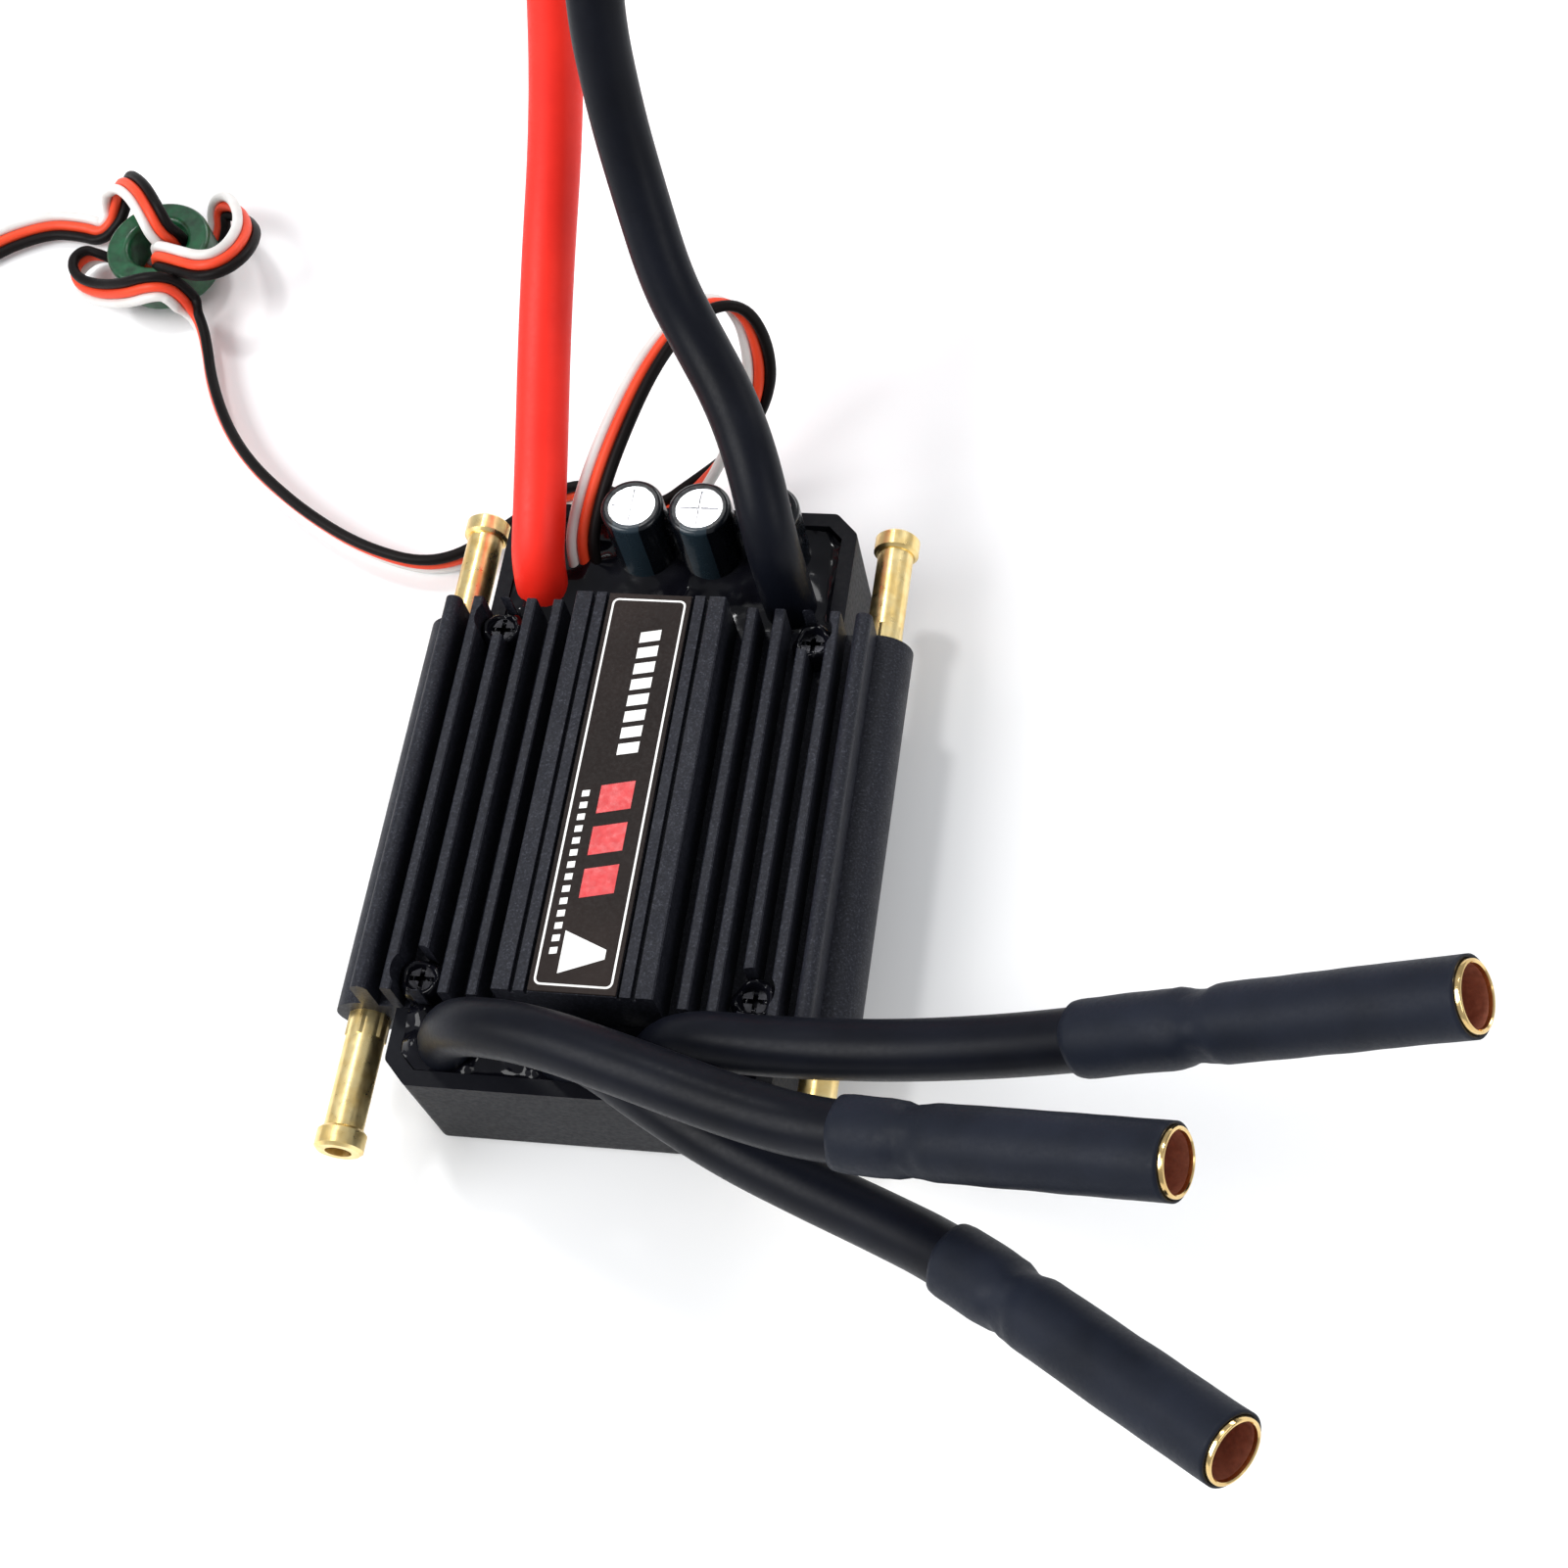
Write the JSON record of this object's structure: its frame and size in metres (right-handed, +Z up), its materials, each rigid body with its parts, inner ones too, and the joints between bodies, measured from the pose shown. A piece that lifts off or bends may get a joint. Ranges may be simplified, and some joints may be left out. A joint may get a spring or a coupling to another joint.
{
  "type": "electronic speed controller",
  "caption": "Water-cooled brushless motor speed controller: finned heatsink with side water tubes and hose nipples on a potted case, with motor, battery and signal leads.",
  "frame": {"origin": "on the case's flat underside, below the middle of the heatsink", "axes": "+Y along the heatsink towards the battery leads, +Z up from the underside, +X across the fins"},
  "size_m": [0.1567, 0.2094, 0.0675],
  "materials": {
    "anodised_aluminium": "black anodised, fine grain",
    "case_plastic": "moulded nylon",
    "potting": "glossy black epoxy",
    "brass": "polished",
    "label": "printed film",
    "black_screw": "black oxide",
    "red_silicone": "silicone",
    "black_silicone": "silicone",
    "heat_shrink": "matt polyolefin",
    "gold_plate": "gold plated",
    "solder": "tinned copper",
    "capacitor_can": "drawn",
    "capacitor_sleeve": "shrunk sleeve",
    "capacitor_bung": "moulded",
    "circuit_board": "solder mask",
    "chip_black": "moulded epoxy",
    "ceramic": "fired ceramic",
    "thermal_pad": "soft silicone",
    "ferrite_green": "epoxy coated",
    "servo_lead": "pvc, three colours",
    "plug_black": "moulded"
  },
  "bodies": {
    "root": {"base_case": "case_plastic", "heatsink": "anodised_aluminium", "label_plate": "label", "heatsink_screws": "black_screw", "power_board": "circuit_board", "control_board": "circuit_board", "board_header_strips": "chip_black", "board_header_pins": "gold_plate", "power_transistors": "chip_black", "thermal_pad": "thermal_pad", "gate_drivers": "chip_black", "microcontroller": "chip_black", "bec_regulators": "chip_black", "bec_inductor": "chip_black", "ceramic_capacitors": "ceramic", "capacitor_bungs": "capacitor_bung", "capacitor_leads": "solder", "board_lead_ends": "solder", "socket_lead_ends": "solder", "signal_lead": "servo_lead", "signal_lead_winding": "servo_lead", "signal_lead_tail": "servo_lead", "ferrite_core": "ferrite_green", "signal_plug_housing": "plug_black", "signal_plug_contacts": "gold_plate", "potting_compound": "potting", "water_nipple_front_left": "brass", "water_nipple_front_right": "brass", "water_nipple_rear_left": "brass", "water_nipple_rear_right": "brass", "capacitor_can_1": "capacitor_can", "capacitor_sleeve_1": "capacitor_sleeve", "capacitor_can_2": "capacitor_can", "capacitor_sleeve_2": "capacitor_sleeve", "capacitor_can_3": "capacitor_can", "capacitor_sleeve_3": "capacitor_sleeve", "motor_lead_a": "black_silicone", "motor_socket_a": "gold_plate", "heat_shrink_a": "heat_shrink", "motor_lead_b": "black_silicone", "motor_socket_b": "gold_plate", "heat_shrink_b": "heat_shrink", "motor_lead_c": "black_silicone", "motor_socket_c": "gold_plate", "heat_shrink_c": "heat_shrink", "battery_lead_positive": "red_silicone", "battery_lead_negative": "black_silicone", "battery_tip_positive": "solder", "battery_tip_negative": "solder"}
  },
  "joints": []
}
